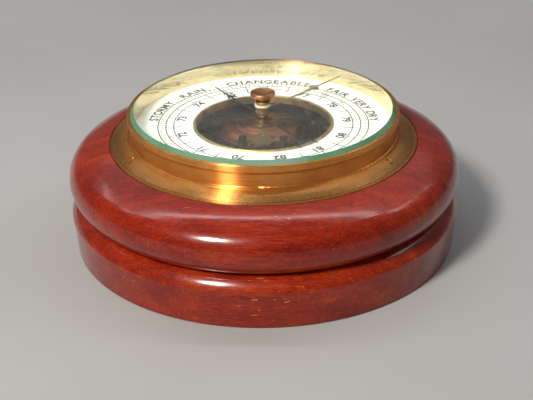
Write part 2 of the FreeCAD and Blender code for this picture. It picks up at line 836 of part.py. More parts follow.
def rocker_crank():
    """Short crank that the drop link turns."""
    y = "capsule_y - 1.8"
    hub = rod("crank_hub", "2.2", "1.2", "rocker_x", y, "rocker_height", "y")
    blade = block("crank_blade", "link_x - rocker_x", "1.2", "1.6", "rocker_x", y, "rocker_height - 0.8")
    tip = rod("crank_tip", "0.8", "1.2", "link_x", y, "rocker_height", "y")
    pin = rod("crank_pin", "pin_radius", "3", "link_x", y, "rocker_height", "y")
    bore = rod("crank_bore", "rocker_radius", "3", "rocker_x", "capsule_y - 3", "rocker_height", "y")
    keep(cut_away("rocker_crank", joined("crank_solid", [hub, blade, tip, pin]), [bore]))


def rocker_arm():
    """Upright arm whose top pulls the chain."""
    hub = rod("arm_hub", "2.2", "2.5", "rocker_x", "-0.5", "rocker_height", "y")
    blade = block("arm_blade", "1.4", "1", "rocker_arm_reach + 1", "rocker_x - 0.7", "0.25",
                  "rocker_height")
    hook = rod("arm_hook", "0.35", "1.2", "rocker_x + 0.3", "drum_core", "chain_height", "x")
    bore = rod("arm_bore", "rocker_radius", "5", "rocker_x", "-2", "rocker_height", "y")
    keep(cut_away("rocker_arm", joined("arm_solid", [hub, blade, hook]), [bore]))


def chain():
    """Fusee chain as a row of links standing on one flat ribbon."""
    start = "rocker_x + 1.65"
    length = "-(%s) - 0.4" % start
    ribbon = block("chain_ribbon", length, "0.2", "0.5", start, "drum_core + 0.03", "chain_height - 0.25")
    links = [ribbon]
    pitch = 1.4
    count = int(number(length) / pitch)
    for step in range(count):
        x = "%s + %.3f" % (start, pitch * (step + 0.5))
        links.append(block("chain_link_%d" % step, "0.9", "0.34", "0.8", x, "drum_core + 0.03",
                           "chain_height - 0.4"))
    keep(joined("chain", links))


# ---- arbor, hairspring and bridge -------------------------------------------------------------

def arbor_bush():
    keep(turned("arbor_bush", [
        ("arbor_radius + running_gap", plate_foot),
        ("2", plate_foot),
        ("2", plate_top),
        ("3", plate_top),
        ("3", plate_top + " + 0.8"),
        ("arbor_radius + running_gap", plate_top + " + 0.8"),
    ]))


def arbor():
    keep(turned("arbor", [
        ("0", plate_foot + " + 0.2"),
        ("arbor_radius", plate_foot + " + 0.2"),
        ("arbor_radius", plate_top + " + 0.9"),
        ("1.1", plate_top + " + 0.9"),
        ("1.1", plate_top + " + 2"),
        ("arbor_radius", plate_top + " + 2"),
        ("arbor_radius", "hand_height + 1"),
        ("0", "hand_height + 1"),
    ]))


def chain_drum():
    keep(turned("chain_drum", [
        ("arbor_radius", "chain_height - 1"),
        ("drum_flange", "chain_height - 1"),
        ("drum_flange", "chain_height - 0.6"),
        ("drum_core", "chain_height - 0.6"),
        ("drum_core", "chain_height + 0.6"),
        ("drum_flange", "chain_height + 0.6"),
        ("drum_flange", "chain_height + 1"),
        ("arbor_radius", "chain_height + 1"),
    ]))


def hairspring_collet():
    keep(turned("hairspring_collet", [
        ("arbor_radius", "hairspring_height - 0.2"),
        ("1.45", "hairspring_height - 0.2"),
        ("1.45", "hairspring_height + hairspring_width + 0.2"),
        ("arbor_radius", "hairspring_height + hairspring_width + 0.2"),
    ]))


def hairspring():
    """Flat spiral that keeps the chain taut."""
    line = doc.addObject("Part::Spiral", "hairspring_line")
    bind(line, "Growth", "hairspring_pitch")
    bind(line, "Rotations", "hairspring_turns")
    bind(line, "Radius", "hairspring_inner")
    line.SegmentLength = 0
    strip = doc.addObject("Part::Plane", "hairspring_section")
    bind(strip, "Length", "0.2")
    bind(strip, "Width", "hairspring_width")
    place(strip, "hairspring_inner - 0.1", "0", "-hairspring_width / 2", (1, 0, 0), 90)
    wire = doc.addObject("Part::Sweep", "hairspring")
    wire.Sections = [strip]
    wire.Spine = (line, ["Edge1"])
    wire.Solid = True
    wire.Frenet = False
    keep(place(wire, "0", "0", "hairspring_height + hairspring_width / 2", angle=90))


def hairspring_stud():
    y = "-hairspring_inner - hairspring_turns * hairspring_pitch - 0.85"
    keep(rod("hairspring_stud", "0.7", "bridge_height - hairspring_height + 0.2",
             "0", y, "hairspring_height - 0.2"))


def arbor_bridge():
    """Flat bridge over the arbor: two round ears with screws and a tongue that carries the pivot."""
    ear = "bridge_ear"
    south = "bridge_post_y - 6.5"
    waist = "bridge_post_y - 2"
    plan = [
        ("-bridge_post_x", "bridge_post_y + bridge_ear", ear, "left"),
        ("-bridge_post_x - bridge_ear", "bridge_post_y", ear, "left"),
        ("-bridge_post_x", "bridge_post_y - bridge_ear"),
        ("-bridge_waist", waist),
        ("-bridge_foot", south),
        ("bridge_foot", south),
        ("bridge_waist", waist),
        ("bridge_post_x", "bridge_post_y - bridge_ear", ear, "left"),
        ("bridge_post_x + bridge_ear", "bridge_post_y", ear, "left"),
        ("bridge_post_x", "bridge_post_y + bridge_ear"),
        ("4.5", "bridge_post_y + 1.5"),
        ("3.2", "0", "3.2", "left"),
        ("0", "3.2", "3.2", "left"),
        ("-3.2", "0"),
        ("-4.5", "bridge_post_y + 1.5"),
    ]
    body = flat("arbor_bridge", [plan], [], "bridge_height", "bridge_thickness")
    holes = [("0", "0", "arbor_radius + running_gap")]
    for x, y in bridge_post_places():
        holes.append((x, y, "0.9"))
    drill(body, "bridge_holes", holes, "bridge_height + bridge_thickness", "bridge_thickness")
    keep(body)


def bridge_posts():
    members = []
    for spot, (x, y) in enumerate(bridge_post_places()):
        tall = "bridge_height - (%s)" % plate_top
        post = rod("bridge_post_body_%d" % spot, "2.2", tall, x, y, plate_top)
        bore = rod("bridge_post_bore_%d" % spot, "0.9", "5", x, y, "bridge_height - 5")
        members.append(cut_away("bridge_post_%d" % spot, post, [bore]))
    grouped("bridge_posts", members)


def bridge_screws():
    members = []
    size = ("2", "1.2", "0.9", "6")
    for spot, (x, y) in enumerate(bridge_post_places()):
        members.append(screw("bridge_screw_%d" % spot, size, x, y, "bridge_height + bridge_thickness",
                             turn=20 + 70 * spot))
    grouped("bridge_screws", members)


# ---- hands and setting knob -------------------------------------------------------------------

def blade_outline(tip, upper):
    """Outline of a hand blade, the same above and below its middle line."""
    lower = [(x, "-" + y) for x, y in reversed(upper)]
    return [(tip, "hand_tip")] + upper + lower + [(tip, "-hand_tip")]


def indicator_hand():
    """Slender arrow hand with a barbed ornament and a crescent on its tail."""
    barb = "hand_barb"
    tail = "-crescent_x + crescent_radius - 0.6"
    blade = flat("hand_blade", [blade_outline("hand_reach", [
        (barb + " + 3", "hand_line + 0.1"),
        (barb + " - 1.8", "hand_barb_width"),
        (barb, "hand_line"),
        ("2", "hand_line + 0.25"),
        ("-2", "hand_line + 0.25"),
        (tail, "hand_line"),
    ])], [], "0", "hand_thickness")
    hub = rod("hand_hub", "hand_hub_radius", "hand_thickness")
    outer = rod("hand_crescent_outer", "crescent_radius", "hand_thickness", "-crescent_x")
    inner = rod("hand_crescent_inner", "crescent_radius - 0.3", "hand_thickness + 2",
                "-crescent_x - crescent_offset", z="-1")
    crescent = cut_away("hand_crescent", outer, [inner])
    bore = rod("hand_bore", "arbor_radius", "hand_thickness")
    item = cut_away("indicator_hand", joined("hand_solid", [blade, hub, crescent]), [bore])
    keep(place(item, "0", "0", "hand_height", angle="hand_angle"))


def hand_collet():
    top = "hand_height + hand_thickness"
    keep(turned("hand_collet", [
        ("arbor_radius", top),
        ("2.05", top),
        ("2.05", top + " + 0.5", "1.6", "left"),
        ("0.6", top + " + 1.2"),
        ("0", top + " + 1.2"),
        ("0", "hand_height + 1"),
        ("arbor_radius", "hand_height + 1"),
    ]))


def hand_pipe():
    keep(turned("hand_pipe", [
        ("arbor_radius", "hand_height - 2.4"),
        ("1.2", "hand_height - 2.4"),
        ("1.2", "hand_height"),
        ("arbor_radius", "hand_height"),
    ]))


def set_hand():
    """Brass hand that is turned by the knob to mark the last reading."""
    bar = "set_hand_bar"
    outline = blade_outline("set_hand_reach", [
        (bar + " + 2.6", "set_hand_line"),
        (bar + " + 0.5", "set_hand_bar_width"),
        (bar + " - 0.3", "set_hand_bar_width"),
        (bar + " - 2.6", "set_hand_line"),
        ("8", "set_hand_line + 0.1"),
        ("4", "set_hand_line + 0.5"),
    ])
    blade = flat("set_hand_blade", [outline], [], "0", "set_hand_thickness")
    hub = rod("set_hand_hub", "set_hand_hub_radius", "set_hand_thickness")
    bore = rod("set_hand_bore", "knob_shaft", "set_hand_thickness")
    item = cut_away("set_hand", joined("set_hand_solid", [blade, hub]), [bore])
    keep(place(item, "0", "0", "set_hand_height", angle="set_hand_angle"))


def set_hand_nut():
    keep(turned("set_hand_nut", [
        ("knob_shaft", "set_hand_height - 1.1"),
        ("3.1", "set_hand_height - 1.1"),
        ("3.4", "set_hand_height - 0.8"),
        ("3.4", "set_hand_height"),
        ("knob_shaft", "set_hand_height"),
    ]))


def setting_knob():
    glass_top = "glass_height + glass_thickness"
    keep(turned("setting_knob", [
        ("0", "set_hand_height - 1.1"),
        ("knob_shaft", "set_hand_height - 1.1"),
        ("knob_shaft", glass_top + " + 1"),
        ("knob_collar - 0.4", glass_top + " + 1", "0.4", "left"),
        ("knob_collar", glass_top + " + 1.4"),
        ("knob_collar", glass_top + " + 2.2", "0.4", "left"),
        ("knob_collar - 0.4", glass_top + " + 2.6"),
        ("knob_neck", glass_top + " + 2.9"),
        ("knob_neck", "knob_top - knob_disc - 0.3"),
        ("knob_radius - 0.5", "knob_top - knob_disc", "0.6", "left"),
        ("knob_radius", "knob_top - knob_disc + 0.5"),
        ("knob_radius", "knob_top - 0.9", "0.9", "left"),
        ("knob_radius - 0.9", "knob_top", "0.9", "left"),
        ("knob_radius - 1.5", "knob_top - 0.3", "16", "right"),
        ("0", "knob_top - 1.1"),
    ]))


def knob_washers():
    """One washer on each face of the glass."""
    top = "glass_height + glass_thickness"
    under = "glass_height - lower_washer_thickness"
    sizes = (
        ("upper", "washer_radius", "washer_thickness", top),
        ("lower", "lower_washer_radius", "lower_washer_thickness", under),
    )
    members = []
    for side, radius, thickness, z in sizes:
        disc = rod("washer_disc_" + side, radius, thickness, "0", "0", z)
        bore = rod("washer_bore_" + side, "knob_shaft + running_gap", thickness, "0", "0", z)
        members.append(cut_away("knob_washer_" + side, disc, [bore]))
    grouped("knob_washers", members)


# ---- back -------------------------------------------------------------------------------------

def back_cover():
    foot = "cover_seat_depth - back_cover_thickness"
    disc = flat("back_cover_disc", [], [("0", "0", "back_cover_radius"), ("capsule_x", "capsule_y", "6")],
                foot, "back_cover_thickness")
    tools = []
    for spot, angle in enumerate(COVER_SCREW_ANGLES):
        x, y = around("back_cover_screw_circle", angle)
        tools.append(sink_tool("back_cover_hole_%d" % spot, COVER_SCREW, x, y, foot, True))
    keep(cut_away("back_cover", disc, tools))


def cover_screws():
    members = []
    foot = "cover_seat_depth - back_cover_thickness"
    for spot, angle in enumerate(COVER_SCREW_ANGLES):
        x, y = around("back_cover_screw_circle", angle)
        members.append(countersunk("cover_screw_%d" % spot, COVER_SCREW, x, y, foot, True))
    grouped("cover_screws", members)


def hanger_plate():
    """Keyhole plate let into the back above the middle."""
    half = "hanger_length / 2"
    low = "hanger_y - hanger_width / 2"
    high = "hanger_y + hanger_width / 2"
    outline = [("-" + half, low), (half, low), (half, high), ("-" + half, high)]
    body = flat("hanger_blank", [outline], [], "0", "hanger_thickness")
    tools = [
        rod("keyhole_round", "keyhole_radius", "hanger_thickness", "0", "keyhole_y"),
        rod("keyhole_end", "keyhole_slot", "hanger_thickness", "0", "keyhole_y + keyhole_travel"),
        block("keyhole_way", "2 * keyhole_slot", "keyhole_travel", "hanger_thickness",
              "-keyhole_slot", "keyhole_y"),
    ]
    for spot, (x, y) in enumerate(hanger_places()):
        tools.append(sink_tool("hanger_hole_%d" % spot, HANGER_SCREW, x, y, "0", True))
    keep(cut_away("hanger_plate", body, tools))


def hanger_screws():
    members = []
    for spot, (x, y) in enumerate(hanger_places()):
        members.append(countersunk("hanger_screw_%d" % spot, HANGER_SCREW, x, y, "0", True))
    grouped("hanger_screws", members)


# ---- build, check and write -------------------------------------------------------------------

BUILDERS = (
    wood_case, bezel, bezel_screws, glass, reflector_ring, dial, dial_ring,
    movement_can, movement_plate, plate_screws, dial_pillars, pillar_screws,
    capsule_foot, capsule_lower, capsule_upper, capsule_spring, capsule_post, adjusting_screw,
    lever_bracket, lever_shaft, main_lever, lever_pin, link_rod,
    rocker_shaft, rocker_brackets, bracket_screws, rocker_crank, rocker_arm, chain,
    arbor_bush, arbor, chain_drum, hairspring_collet, hairspring, hairspring_stud,
    arbor_bridge, bridge_posts, bridge_screws,
    indicator_hand, hand_collet, hand_pipe, set_hand, set_hand_nut, setting_knob, knob_washers,
    back_cover, cover_screws, hanger_plate, hanger_screws,
)


def check_document():
    for item in doc.Objects:
        for word in ("Invalid", "Error"):
            if word in item.State:
                raise RuntimeError("%s is %s" % (item.Label, item.State))
    for item in pieces:
        if item.Shape.isNull() or not item.Shape.isValid():
            raise RuntimeError("%s has no valid shape" % item.Label)
        if not item.Shape.Solids:
            raise RuntimeError("%s has no solid" % item.Label)


def write_pieces():
    os.makedirs("parts", exist_ok=True)
    for item in pieces:
        item.Shape.exportStep(os.path.join("parts", item.Label + ".step"))


fill_sheet()
for make in BUILDERS:
    make()
doc.recompute()
check_document()
write_pieces()
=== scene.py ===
import json
import math

import bpy
import bmesh
from mathutils import Matrix, Vector


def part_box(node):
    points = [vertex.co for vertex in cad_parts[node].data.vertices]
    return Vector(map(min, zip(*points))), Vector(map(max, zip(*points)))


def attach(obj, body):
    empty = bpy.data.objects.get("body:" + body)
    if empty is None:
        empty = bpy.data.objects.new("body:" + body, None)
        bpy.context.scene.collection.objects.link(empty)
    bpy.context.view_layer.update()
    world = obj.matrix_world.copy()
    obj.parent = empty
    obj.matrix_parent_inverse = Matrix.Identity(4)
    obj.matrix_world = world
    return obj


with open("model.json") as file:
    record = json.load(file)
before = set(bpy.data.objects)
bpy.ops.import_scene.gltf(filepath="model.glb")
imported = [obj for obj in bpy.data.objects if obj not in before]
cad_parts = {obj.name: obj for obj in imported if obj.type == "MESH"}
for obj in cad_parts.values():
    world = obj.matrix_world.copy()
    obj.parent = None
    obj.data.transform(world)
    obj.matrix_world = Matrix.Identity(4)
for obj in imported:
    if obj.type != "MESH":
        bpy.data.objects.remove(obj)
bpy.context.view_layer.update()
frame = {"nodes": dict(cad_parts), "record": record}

# Looks of the aneroid barometer, in metres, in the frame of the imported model:
# origin in the middle of the case's flat back, +Z out of the dial, +Y to the dial's top.

NODES = frame["nodes"]
MM = 0.001

# Camera: azimuth and elevation of the view and its roll in degrees, the point it looks at and the
# distance to it in metres, and the lens in millimetres.
VIEW_AZIMUTH = 3.15
VIEW_ELEVATION = 26.84
VIEW_DISTANCE = 0.6555
VIEW_TARGET = Vector((0.0009, 0.0, 0.0163))
VIEW_ROLL = -1.04
LENS = 87.8
SENSOR_WIDTH = 36.0
NEAR_CLIP = 0.01

# Key light: azimuth and elevation it comes from, as for the camera. It faces the middle of the object.
KEY_AZIMUTH = -31.0
KEY_ELEVATION = 45.0
KEY_DISTANCE = 1.5
KEY_SIZE = (0.30, 0.30)
KEY_POWER = 22.0
KEY_COLOUR = (1.0, 0.96, 0.90)
OBJECT_MIDDLE = Vector((0, 0, 0.04))

# Lamps hung at one height and facing down: place on the floor plan, size, power and colour.
LAMP_HEIGHT = 1.25
OVERHEAD_COLOUR = (0.93, 0.96, 1.0)
STRIP_COLOUR = (0.96, 0.97, 1.0)
HUNG_LAMPS = (
    ("overhead", (0.0, 1.35), (2.6, 2.0), 4.8, OVERHEAD_COLOUR),
    ("strip", (0.0, 0.33), (2.6, 0.05), 6.0, STRIP_COLOUR),
    ("side_strip_left", (-1.3, 0.85), (0.05, 1.0), 2.2, STRIP_COLOUR),
    ("side_strip_right", (1.3, 0.85), (0.05, 1.0), 2.2, STRIP_COLOUR),
)
WORLD_STRENGTH = 0.30
FLOOR_SIZE = 4.0
FLOOR_DROP = 0.0002

# Places on the pieces, metres: where the bezel's flange fades into its wall (heights, then radii),
# the width of the glass's bevel, and how far below the glass's top the lower washer starts. A face of
# the glass belongs to its bevel or edge if its normal's height is under BEVEL_FACE_LIMIT.
FLANGE_TOP = (0.0536, 0.0552)
FLANGE_FOOT = (0.0655, 0.0668)
BEVEL_WIDTH = 2.3 * MM
LOWER_WASHER_DEPTH = 1.0 * MM
BEVEL_FACE_LIMIT = 0.9
SHARP_ANGLE = math.radians(32)

# Dial print, millimetres: radii from the middle, line widths and text. STEP_ANGLE is the degrees from
# one number to the next.
SCALE_OUTER = 51.5
SCALE_MIDDLE = 47.6
SCALE_INNER = 43.8
HALF_STROKE = 39.5
FINE_LINE = 0.30
BOLD_LINE = 0.52
RING_STEPS = 360
NUMBER_SWELL = 0.20
WORD_SWELL = 0.19
NUMBER_RADIUS = 40.5
NUMBER_SIZE = 6.0
WORD_RADIUS = 54.2
WORD_SIZE = 6.2
LOWEST_NUMBER = 70
HIGHEST_NUMBER = 82
TOP_NUMBER = 76
STEP_ANGLE = 27.7
TICKS_PER_NUMBER = 10


# ---- node helpers ------------------------------------------------------------------------------

def new_material(name):
    material = bpy.data.materials.new(name)
    material.use_nodes = True
    material.node_tree.nodes.clear()
    return material, material.node_tree


def node(tree, kind, setup=None, **inputs):
    """Adds a node. Inputs are named with _ for a space; a socket is linked, a value is set."""
    item = tree.nodes.new("ShaderNode" + kind)
    for field, value in (setup or {}).items():
        setattr(item, field, value)
    for name, value in inputs.items():
        key = int(name[1:]) if name[0] == "_" else name.replace("_", " ")
        socket = item.inputs[key]
        if isinstance(value, bpy.types.NodeSocket):
            tree.links.new(value, socket)
        else:
            socket.default_value = value
    return item


def rgb(red, green, blue):
    """Colour from the usual 0 to 255 numbers, as linear light."""
    def linear(value):
        value = value / 255.0
        return value / 12.92 if value <= 0.04045 else ((value + 0.055) / 1.055) ** 2.4
    return (linear(red), linear(green), linear(blue), 1.0)


def math_node(tree, operation, first, second=0.0, clamp=False):
    setup = {"operation": operation, "use_clamp": clamp}
    return node(tree, "Math", setup, _0=first, _1=second).outputs[0]


def times(tree, first, second, clamp=False):
    return math_node(tree, "MULTIPLY", first, second, clamp)


def plus(tree, first, second):
    return math_node(tree, "ADD", first, second)


def place_of(tree):
    return node(tree, "TexCoord").outputs["Object"]


def noise(tree, scale, detail, rough, distortion=0.0):
    """Noise over the object; scale is its cells per metre along x, y and z."""
    place = node(tree, "Mapping", {"vector_type": "POINT"}, Vector=place_of(tree), Scale=scale)
    item = node(tree, "TexNoise", Vector=place.outputs[0], Scale=1.0, Detail=detail, Roughness=rough,
                Distortion=distortion)
    return item.outputs[0]


def ramp(tree, factor, stops):
    """Colour ramp from (position, colour) stops."""
    item = node(tree, "ValToRGB", Fac=factor)
    elements = item.color_ramp.elements
    while len(elements) < len(stops):
        elements.new(0.5)
    for element, (position, colour) in zip(elements, stops):
        element.position = position
        element.color = colour
    return item.outputs[0]


def grey(value):
    return (value, value, value, 1.0)


def mask(tree, value, start, end):
    """0 up to start and 1 from end on; with start above end it is the other way round."""
    stops = [(start, grey(0)), (end, grey(1))]
    return ramp(tree, value, sorted(stops))


def blend_colour(tree, factor, first, second):
    item = node(tree, "Mix", {"data_type": "RGBA", "clamp_factor": True})
    for index, value in ((0, factor), (6, first), (7, second)):
        if isinstance(value, bpy.types.NodeSocket):
            tree.links.new(value, item.inputs[index])
        else:
            item.inputs[index].default_value = value
    return item.outputs[2]


def turned_streaks(tree, fine, slow):
    """Noise that runs in rings about the dial's axis, with no seam: fine across, slow along."""
    parts = node(tree, "SeparateXYZ", Vector=place_of(tree))
    x, y, z = parts.outputs
    radius = math_node(tree, "SQRT", plus(tree, times(tree, x, x), times(tree, y, y)))
    safe = math_node(tree, "MAXIMUM", radius, 0.1 * MM)
    ring = node(tree, "CombineXYZ",
                X=times(tree, math_node(tree, "DIVIDE", x, safe), slow),
                Y=times(tree, math_node(tree, "DIVIDE", y, safe), slow),
                Z=times(tree, radius, fine)).outputs[0]
    item = node(tree, "TexNoise", {"noise_dimensions": "4D"}, Vector=ring, W=times(tree, z, fine),
                Scale=1.0, Detail=3.0, Roughness=0.6)
    return item.outputs[0], radius, z


def turning_direction(tree):
    """Direction in which a lathe tool marks the surface: round the dial's axis."""
    return node(tree, "Tangent", {"direction_type": "RADIAL", "axis": "Z"}).outputs[0]


def bump(tree, height, strength, distance, normal=None):
    """Bumped normal; distance is in metres, and normal is one to add the bump to."""
    item = node(tree, "Bump", Strength=strength, Distance=distance, Height=height)
    if normal is not None:
        tree.links.new(normal, item.inputs["Normal"])
    return item.outputs[0]


def mix_shaders(tree, share, first, second):
    """Shader with a share of the second in the first."""
    return node(tree, "MixShader", _0=share, _1=first.outputs[0], _2=second.outputs[0])


def show(tree, shader):
    """Makes a shader the material's surface."""
    node(tree, "OutputMaterial", _0=shader.outputs[0])


def surface(tree, **inputs):
    """Ordinary surface, with the inputs of the principled shader."""
    show(tree, node(tree, "BsdfPrincipled", **inputs))


def turned_surface(tree, streak_colour, streak_share, **inputs):
    """Surface with the tall streak that turning marks give: wide across the marks, narrow along them."""
    tangent = turning_direction(tree)
    body = node(tree, "BsdfPrincipled", Anisotropic_Rotation=0.25, Tangent=tangent, **inputs)
    streak = node(tree, "BsdfAnisotropic", Color=streak_colour, Roughness=0.38, Anisotropy=0.80,
                  Tangent=tangent)
    show(tree, mix_shaders(tree, streak_share, body, streak))


def spread(tree, value, low, high, from_low, from_high):
    """Maps from_low to from_high onto low to high, and holds the ends."""
    item = node(tree, "MapRange", Value=value)
    for index, number in enumerate((from_low, from_high, low, high), start=1):
        item.inputs[index].default_value = number
    return item.outputs[0]


def from_noise(tree, value, low, high):
    """Maps the usual range of a noise onto low to high."""
    return spread(tree, value, low, high, 0.3, 0.7)


# ---- materials ---------------------------------------------------------------------------------

def mahogany():
    """Red-brown mahogany under clear gloss lacquer: ribbon figure, fine pores, small knocks."""
    material, tree = new_material("mahogany")
    figure = noise(tree, (9, 42, 42), 3.0, 0.5, 0.8)
    fibre = noise(tree, (60, 1300, 1300), 5.0, 0.6, 0.2)
    ribbon = noise(tree, (26, 230, 230), 3.0, 0.55, 0.5)
    mixed = plus(tree, times(tree, figure, 0.35),
                 plus(tree, times(tree, fibre, 0.38), times(tree, ribbon, 0.27)))
    colour = ramp(tree, mixed, [
        (0.32, rgb(88, 10, 2)),
        (0.45, rgb(126, 24, 4)),
        (0.56, rgb(152, 40, 8)),
        (0.70, rgb(188, 74, 20)),
    ])
    fleck = noise(tree, (330, 2400, 1500), 2.0, 0.5)
    light = mask(tree, fleck, 0.60, 0.74)
    colour = blend_colour(tree, times(tree, light, 0.35), colour, rgb(206, 90, 30))
    pores = mask(tree, noise(tree, (200, 2600, 2600), 2.0, 0.5), 0.42, 0.33)
    colour = blend_colour(tree, times(tree, pores, 0.7), colour, rgb(54, 6, 3))
    # scratches down to paler wood
    scratch = noise(tree, (150, 1900, 600), 2.0, 0.5, 0.3)
    where = noise(tree, (38, 38, 38), 1.0, 0.5)
    scratched = times(tree, mask(tree, scratch, 0.68, 0.71), mask(tree, where, 0.58, 0.63))
    colour = blend_colour(tree, scratched, colour, rgb(232, 130, 62))
    grain_bump = bump(tree, fibre, 0.05, 0.2 * MM)
    lacquer_wave = bump(tree, noise(tree, (200, 520, 520), 3.0, 0.5), 0.09, 0.2 * MM)
    smear = noise(tree, (90, 90, 90), 5.0, 0.65)
    surface(tree, Base_Color=colour, Roughness=0.34, Specular_IOR_Level=0.12, Normal=grain_bump,
            Coat_Weight=0.9, Coat_Roughness=from_noise(tree, smear, 0.10, 0.20), Coat_IOR=1.45,
            Coat_Normal=lacquer_wave)
    return material


def spun_brass():
    """Aged lacquered brass spun on a lathe: fine rings, brown patina and worn specks on the flange."""
    material, tree = new_material("spun_brass")
    rings, radius, z = turned_streaks(tree, 2600.0, 3.0)
    broad, _, _ = turned_streaks(tree, 420.0, 2.0)
    cloud = noise(tree, (45, 45, 45), 6.0, 0.65, 0.6)
    speck = noise(tree, (1500, 1500, 1500), 4.0, 0.7)
    low_down = spread(tree, z, 1.0, 0.0, *FLANGE_TOP)
    flange = times(tree, low_down, spread(tree, radius, 0.0, 1.0, *FLANGE_FOOT), True)
    colour = ramp(tree, cloud, [
        (0.28, rgb(192, 118, 48)),
        (0.50, rgb(232, 156, 74)),
        (0.72, rgb(248, 188, 106)),
    ])
    colour = blend_colour(tree, times(tree, broad, 0.5), colour, rgb(242, 170, 88))
    worn = ramp(tree, speck, [
        (0.36, rgb(78, 52, 26)),
        (0.52, rgb(168, 120, 64)),
        (0.68, rgb(222, 178, 116)),
    ])
    patina = times(tree, flange, spread(tree, cloud, 0.45, 0.95, 0.3, 0.6), True)
    colour = blend_colour(tree, patina, colour, worn)
    rough = plus(tree, from_noise(tree, rings, 0.22, 0.38),
                 times(tree, patina, from_noise(tree, speck, 0.28, 0.05)))
    lines = bump(tree, rings, 0.10, 0.05 * MM)
    pitted = bump(tree, times(tree, speck, flange), 0.22, 0.2 * MM, lines)
    streak = blend_colour(tree, 0.5, colour, rgb(250, 176, 88))
    turned_surface(tree, streak, 0.36, Base_Color=colour, Metallic=0.80, Roughness=rough, Normal=pitted,
                   Anisotropic=0.8, Coat_Weight=0.2, Coat_Roughness=0.2)
    return material


def metal(name, low, high, rough_low, rough_high, turned=True):
    """Plain metal with slow colour change, smeared roughness and fine machining marks."""
    material, tree = new_material(name)
    cloud = noise(tree, (120, 120, 120), 5.0, 0.6, 0.5)
    colour = ramp(tree, cloud, [(0.32, low), (0.68, high)])
    if turned:
        marks, _, _ = turned_streaks(tree, 5000.0, 3.0)
    else:
        marks = noise(tree, (600, 4800, 1200), 3.0, 0.6)
    grain = bump(tree, marks, 0.08, 0.05 * MM)
    surface(tree, Base_Color=colour, Metallic=1.0, Normal=grain,
            Roughness=from_noise(tree, marks, rough_low, rough_high))
    return material


def gilt():
    """Pale gilt of the reflector ring: nearly a mirror, with faint upright marks and a turned streak."""
    material, tree = new_material("gilt")
    drawn, _, _ = turned_streaks(tree, 60.0, 220.0)
    cloud = noise(tree, (90, 90, 200), 4.0, 0.6)
    colour = ramp(tree, cloud, [(0.30, rgb(224, 202, 152)), (0.70, rgb(244, 230, 190))])
    spots = mask(tree, noise(tree, (700, 700, 700), 2.0, 0.5), 0.70, 0.76)
    colour = blend_colour(tree, times(tree, spots, 0.4), colour, rgb(150, 120, 70))
    turned_surface(tree, rgb(255, 240, 204), 0.14, Base_Color=colour, Metallic=1.0, Anisotropic=0.5,
                   Roughness=from_noise(tree, drawn, 0.06, 0.16), Normal=bump(tree, drawn, 0.03, 0.03 * MM))
    return material


def enamel_white():
    """Satin white dial with a trace of yellowing and handling marks."""
    material, tree = new_material("enamel_white")
    cloud = noise(tree, (30, 30, 30), 5.0, 0.6)
    colour = ramp(tree, cloud, [(0.30, rgb(240, 238, 228)), (0.65, rgb(250, 250, 246))])
    specks = mask(tree, noise(tree, (1300, 1300, 1300), 2.0, 0.5), 0.27, 0.22)
    colour = blend_colour(tree, times(tree, specks, 0.35), colour, rgb(196, 184, 160))
    wave = noise(tree, (700, 700, 700), 3.0, 0.6)
    surface(tree, Base_Color=colour, Roughness=from_noise(tree, cloud, 0.28, 0.42),
            Normal=bump(tree, wave, 0.03, 0.05 * MM), Coat_Weight=0.15, Coat_Roughness=0.3)
    return material


def ink():
    """Black dial print, a little uneven."""
    material, tree = new_material("ink")
    wear = noise(tree, (2200, 2200, 2200), 3.0, 0.6)
    colour = ramp(tree, wear, [(0.35, rgb(20, 20, 22)), (0.75, rgb(58, 58, 60))])
    surface(tree, Base_Color=colour, Roughness=from_noise(tree, wear, 0.35, 0.6))
    return material


def clear_glass():
    """Clear glass under a film of dust, with straight light for shadows and green at grazing angles."""
    material, tree = new_material("clear_glass")
    facing = node(tree, "LayerWeight", Blend=0.35).outputs["Facing"]
    colour = blend_colour(tree, times(tree, facing, 0.5), (0.99, 0.995, 0.99, 1), (0.90, 0.97, 0.93, 1))
    dust = noise(tree, (1600, 1600, 1600), 3.0, 0.7)
    smear = noise(tree, (60, 60, 60), 5.0, 0.6, 0.8)
    rough = times(tree, spread(tree, smear, 0.0, 0.03, 0.45, 0.75), spread(tree, dust, 0.4, 1.0, 0.0, 1.0))
    pane = node(tree, "BsdfGlass", Color=colour, Roughness=rough, IOR=1.52)
    through = node(tree, "BsdfTransparent", Color=colour)
    shadow = node(tree, "LightPath").outputs["Is Shadow Ray"]
    film = node(tree, "BsdfDiffuse", Color=rgb(232, 228, 214))
    clean = mix_shaders(tree, shadow, pane, through)
    show(tree, mix_shaders(tree, from_noise(tree, smear, 0.01, 0.035), clean, film))
    return material


def bevel_glass():
    """Ground and polished bevel: green from the depth of the glass behind it, with a clear sheen."""
    material, tree = new_material("bevel_glass")
    ground = noise(tree, (500, 500, 500), 3.0, 0.6)
    cloud = noise(tree, (25, 25, 25), 2.0, 0.5)
    green = ramp(tree, cloud, [(0.35, rgb(96, 184, 134)), (0.65, rgb(176, 222, 194))])
    body = node(tree, "BsdfDiffuse", Color=green)
    deep = node(tree, "BsdfTransparent", Color=(0.62, 0.92, 0.76, 1))
    shine = node(tree, "BsdfGlossy", Color=grey(1), Roughness=from_noise(tree, ground, 0.03, 0.12))
    sheen = node(tree, "Fresnel", IOR=1.6).outputs[0]
    show(tree, mix_shaders(tree, sheen, mix_shaders(tree, 0.6, body, deep), shine))
    return material


